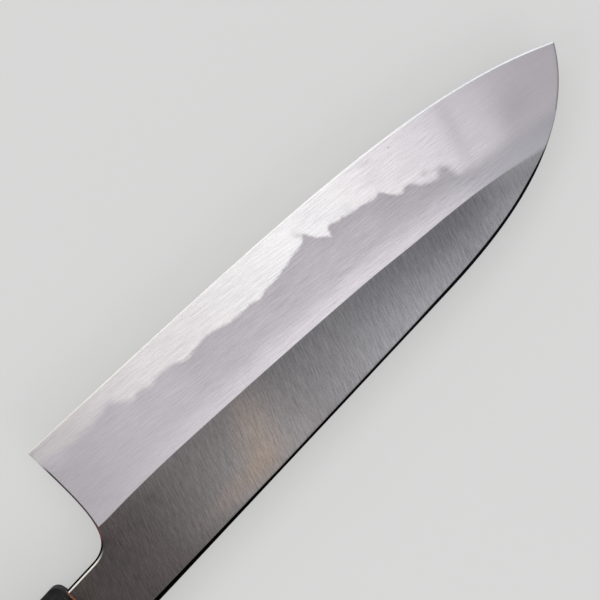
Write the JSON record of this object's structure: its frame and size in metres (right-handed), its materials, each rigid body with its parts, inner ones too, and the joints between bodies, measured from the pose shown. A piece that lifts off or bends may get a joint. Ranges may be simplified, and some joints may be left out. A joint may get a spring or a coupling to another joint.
{
  "type": "santoku knife",
  "caption": "Santoku knife: a wide-bevelled blade of hard steel between soft claddings, in an octagonal wooden handle with a horn ferrule, for slicing and chopping.",
  "frame": {"origin": "under the middle of the knife's box, on the plane of the handle's right facet, which the handle lies on", "axes": "+X from the butt to the tip along the spine, +Y from the spine to the cutting edge, +Z out of the left face of the blade"},
  "size_m": [0.3192, 0.0533, 0.02],
  "materials": {
    "hard_steel": "satin",
    "soft_steel": "satin",
    "black_horn": "polished",
    "magnolia_wood": "satin",
    "dowel_wood": "matte",
    "amber_resin": "satin"
  },
  "bodies": {
    "root": {"core_steel": "hard_steel", "cladding_left": "soft_steel", "cladding_right": "soft_steel", "ferrule": "black_horn", "handle_body": "magnolia_wood", "tenon_dowel": "dowel_wood", "mouth_seal": "amber_resin"}
  },
  "joints": []
}
